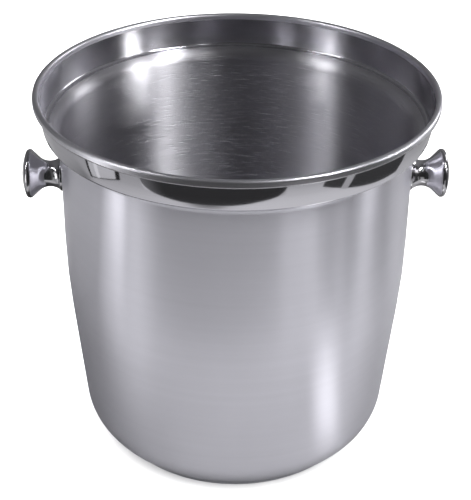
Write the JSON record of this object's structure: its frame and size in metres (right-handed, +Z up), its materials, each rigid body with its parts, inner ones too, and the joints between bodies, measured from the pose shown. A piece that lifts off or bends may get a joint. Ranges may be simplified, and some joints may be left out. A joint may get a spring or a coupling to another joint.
{
  "type": "champagne bucket",
  "caption": "Stainless steel champagne bucket: satin tapered wall, polished flared collar with rolled rim, small pressed foot, and a polished trumpet knob screwed to each side.",
  "frame": {"origin": "centre of the base, on the surface that the foot stands on", "axes": "+Z up out of the mouth, the knobs lie along X, and Y runs from front to back"},
  "size_m": [0.2382, 0.22, 0.216],
  "materials": {
    "satin_steel": "satin stainless steel wall, brushed round the bucket, with a polished collar and rim bead",
    "polished_knob": "mirror polished",
    "plain_steel": "plain stainless fasteners",
    "seal_rubber": "black rubber"
  },
  "bodies": {
    "root": {"bucket_body": "satin_steel", "knob_left": "polished_knob", "knob_right": "polished_knob", "knob_screw_left": "plain_steel", "knob_screw_right": "plain_steel", "flat_washer_left": "plain_steel", "flat_washer_right": "plain_steel", "sealing_washer_left": "seal_rubber", "sealing_washer_right": "seal_rubber"}
  },
  "joints": []
}
